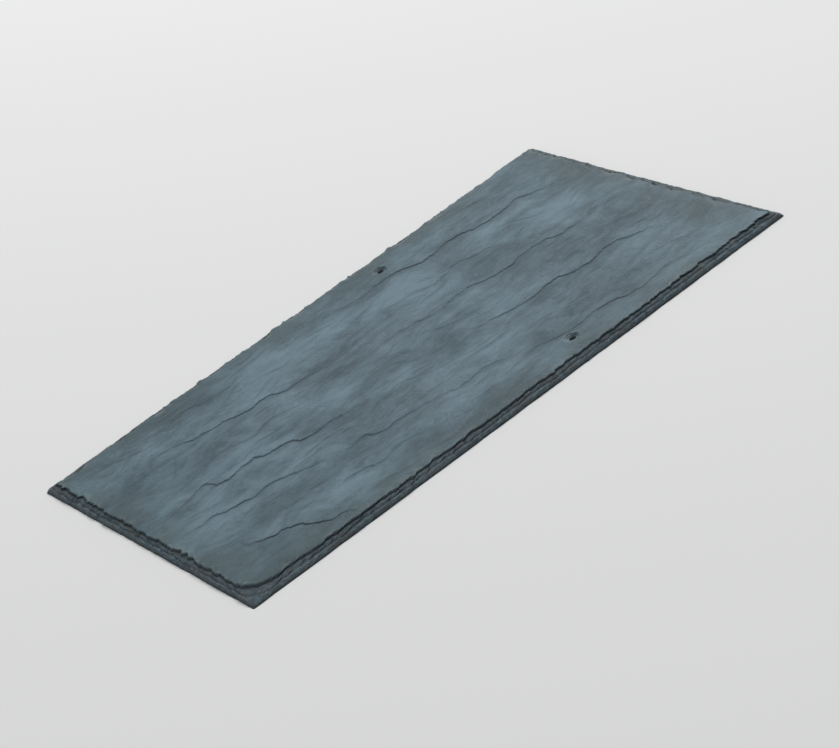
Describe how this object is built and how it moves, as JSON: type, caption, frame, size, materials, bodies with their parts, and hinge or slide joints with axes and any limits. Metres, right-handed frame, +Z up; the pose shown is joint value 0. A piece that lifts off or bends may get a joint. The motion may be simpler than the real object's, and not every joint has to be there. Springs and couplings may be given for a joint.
{
  "type": "slate roof tile",
  "caption": "Rectangular roofing slate with a riven face, dressed bevelled edges in stepped laminae, a worn tail corner and nail holes.",
  "frame": {"origin": "centre of the slate's footprint, at its bed, the face that lies on the roof", "axes": "+X across the width, +Y from the tail, the end that shows, to the head, +Z up through the riven face"},
  "size_m": [0.295, 0.445, 0.007],
  "materials": {
    "riven_slate": "riven, satin"
  },
  "bodies": {
    "root": {"slate": "riven_slate"}
  },
  "joints": []
}
